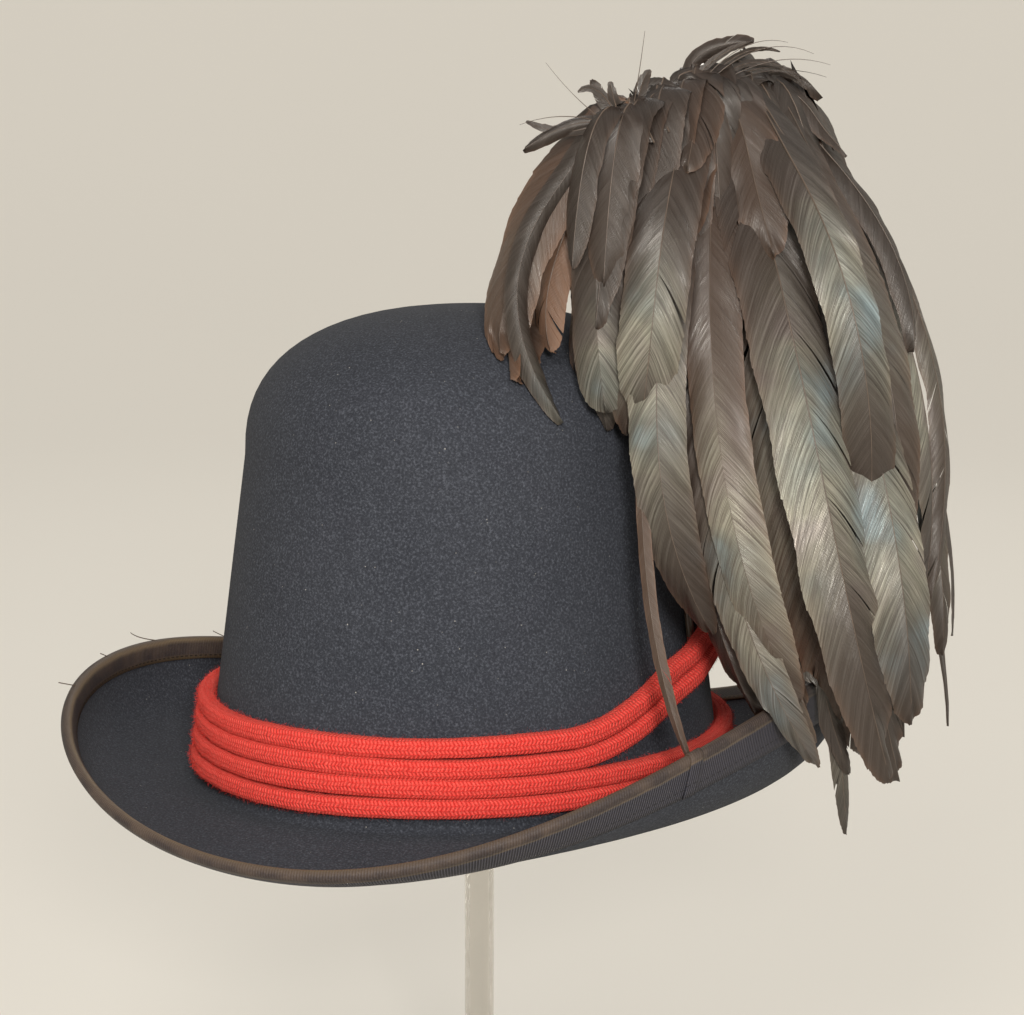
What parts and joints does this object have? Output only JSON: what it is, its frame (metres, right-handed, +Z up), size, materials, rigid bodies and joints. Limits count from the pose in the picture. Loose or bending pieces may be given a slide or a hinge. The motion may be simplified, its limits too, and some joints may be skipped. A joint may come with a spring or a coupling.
{
  "type": "plumed felt hat on a clear stand",
  "caption": "Rounded blue-black felt hat with a rolled, ribbon-bound brim, a wound red cord and a dark feather plume, held up by a clear post stand.",
  "frame": {"origin": "centre of the stand's foot, on the surface that it stands on", "axes": "+Z up along the post, -Y towards the front of the hat, +X towards the wearer's left, where the plume is"},
  "size_m": [0.2976, 0.2944, 0.3942],
  "materials": {
    "felt": "dense wool felt, blue-black, short matt nap",
    "ribbon": "ribbed ribbon, faded to brown at its fold",
    "cord": "braided wool cord, matt red",
    "feather": "dark brown-black feathers with a green and copper sheen",
    "acrylic": "clear, polished"
  },
  "bodies": {
    "root": {"felt_body": "felt", "brim_binding": "ribbon", "cord_turn_1": "cord", "cord_turn_2": "cord", "cord_turn_3": "cord", "cord_turn_4": "cord", "plume": "feather", "stand_base": "acrylic", "stand_post": "acrylic", "stand_cap": "acrylic"}
  },
  "joints": []
}
